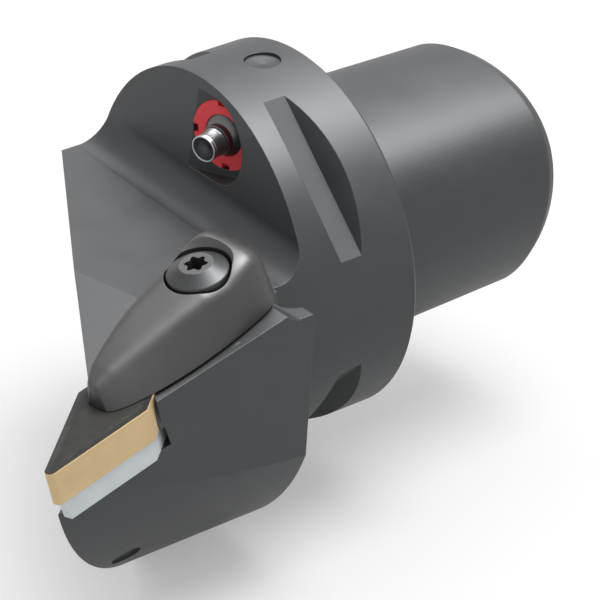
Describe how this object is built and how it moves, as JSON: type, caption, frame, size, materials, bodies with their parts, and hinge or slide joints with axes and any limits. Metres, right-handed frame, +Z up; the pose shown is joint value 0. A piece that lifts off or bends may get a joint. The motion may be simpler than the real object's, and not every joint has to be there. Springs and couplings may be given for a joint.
{
  "type": "turning tool holder",
  "caption": "Turning tool holder with a polygon taper shank, gripper flange, offset head, rhombic insert on a shim under a top clamp, and an adjustable coolant nozzle.",
  "frame": {"origin": "on the shank's axis in the gauge plane, where the flange's rear face meets the machine", "axes": "+X along the shank's axis towards the cutting end, +Y to the side of the insert's nose, +Z up out of the insert's rake face"},
  "size_m": [0.0925, 0.06, 0.058],
  "materials": {
    "body_steel": "satin",
    "clamp_steel": "satin",
    "bright_steel": "polished",
    "spring_steel": "satin",
    "insert_coating": "satin",
    "shim_carbide": "ground",
    "red_ring": "satin",
    "seal_rubber": "matt"
  },
  "bodies": {
    "holder": {"holder_body": "body_steel", "cutting_insert": "insert_coating", "shim": "shim_carbide", "shim_screw": "bright_steel", "clamp_spring": "spring_steel", "clamp_guide_pin": "bright_steel", "nozzle_retaining_ring": "red_ring", "nozzle_seat_ring": "bright_steel", "channel_plug_sleeve": "bright_steel", "channel_plug_ball": "bright_steel"},
    "clamp": {"clamp": "clamp_steel", "clamp_retaining_ring": "spring_steel"},
    "clamp_screw": {"clamp_screw": "bright_steel"},
    "nozzle_swivel": {"nozzle_o_ring": "seal_rubber"},
    "nozzle": {"nozzle_ball": "bright_steel", "nozzle_tube": "bright_steel"}
  },
  "joints": [
    {"name": "clamp_lift", "type": "slide", "parent": "holder", "child": "clamp", "axis": [0.2169, 0.0576, 0.9745], "range_m": [0, 0.0025]},
    {"name": "clamp_screw_turn", "type": "hinge", "parent": "clamp", "child": "clamp_screw", "pos_m": [0.03264, 0.0256, 0.00698], "axis": [0.2169, 0.0576, 0.9745], "range_deg": [0, 1125]},
    {"name": "nozzle_turn", "type": "hinge", "parent": "holder", "child": "nozzle_swivel", "pos_m": [0.01193, 0.00299, 0.01768], "axis": [0.9572, 0.289, -0.0175], "continuous": true},
    {"name": "nozzle_tilt", "type": "hinge", "parent": "nozzle_swivel", "child": "nozzle", "pos_m": [0.01193, 0.00299, 0.01768], "axis": [-0.289, 0.9573, 0], "range_deg": [-17, 13]}
  ],
  "couplings": [
    {"joint": "clamp_screw_turn", "follows": "clamp_lift", "rad_per_m": 7854}
  ]
}
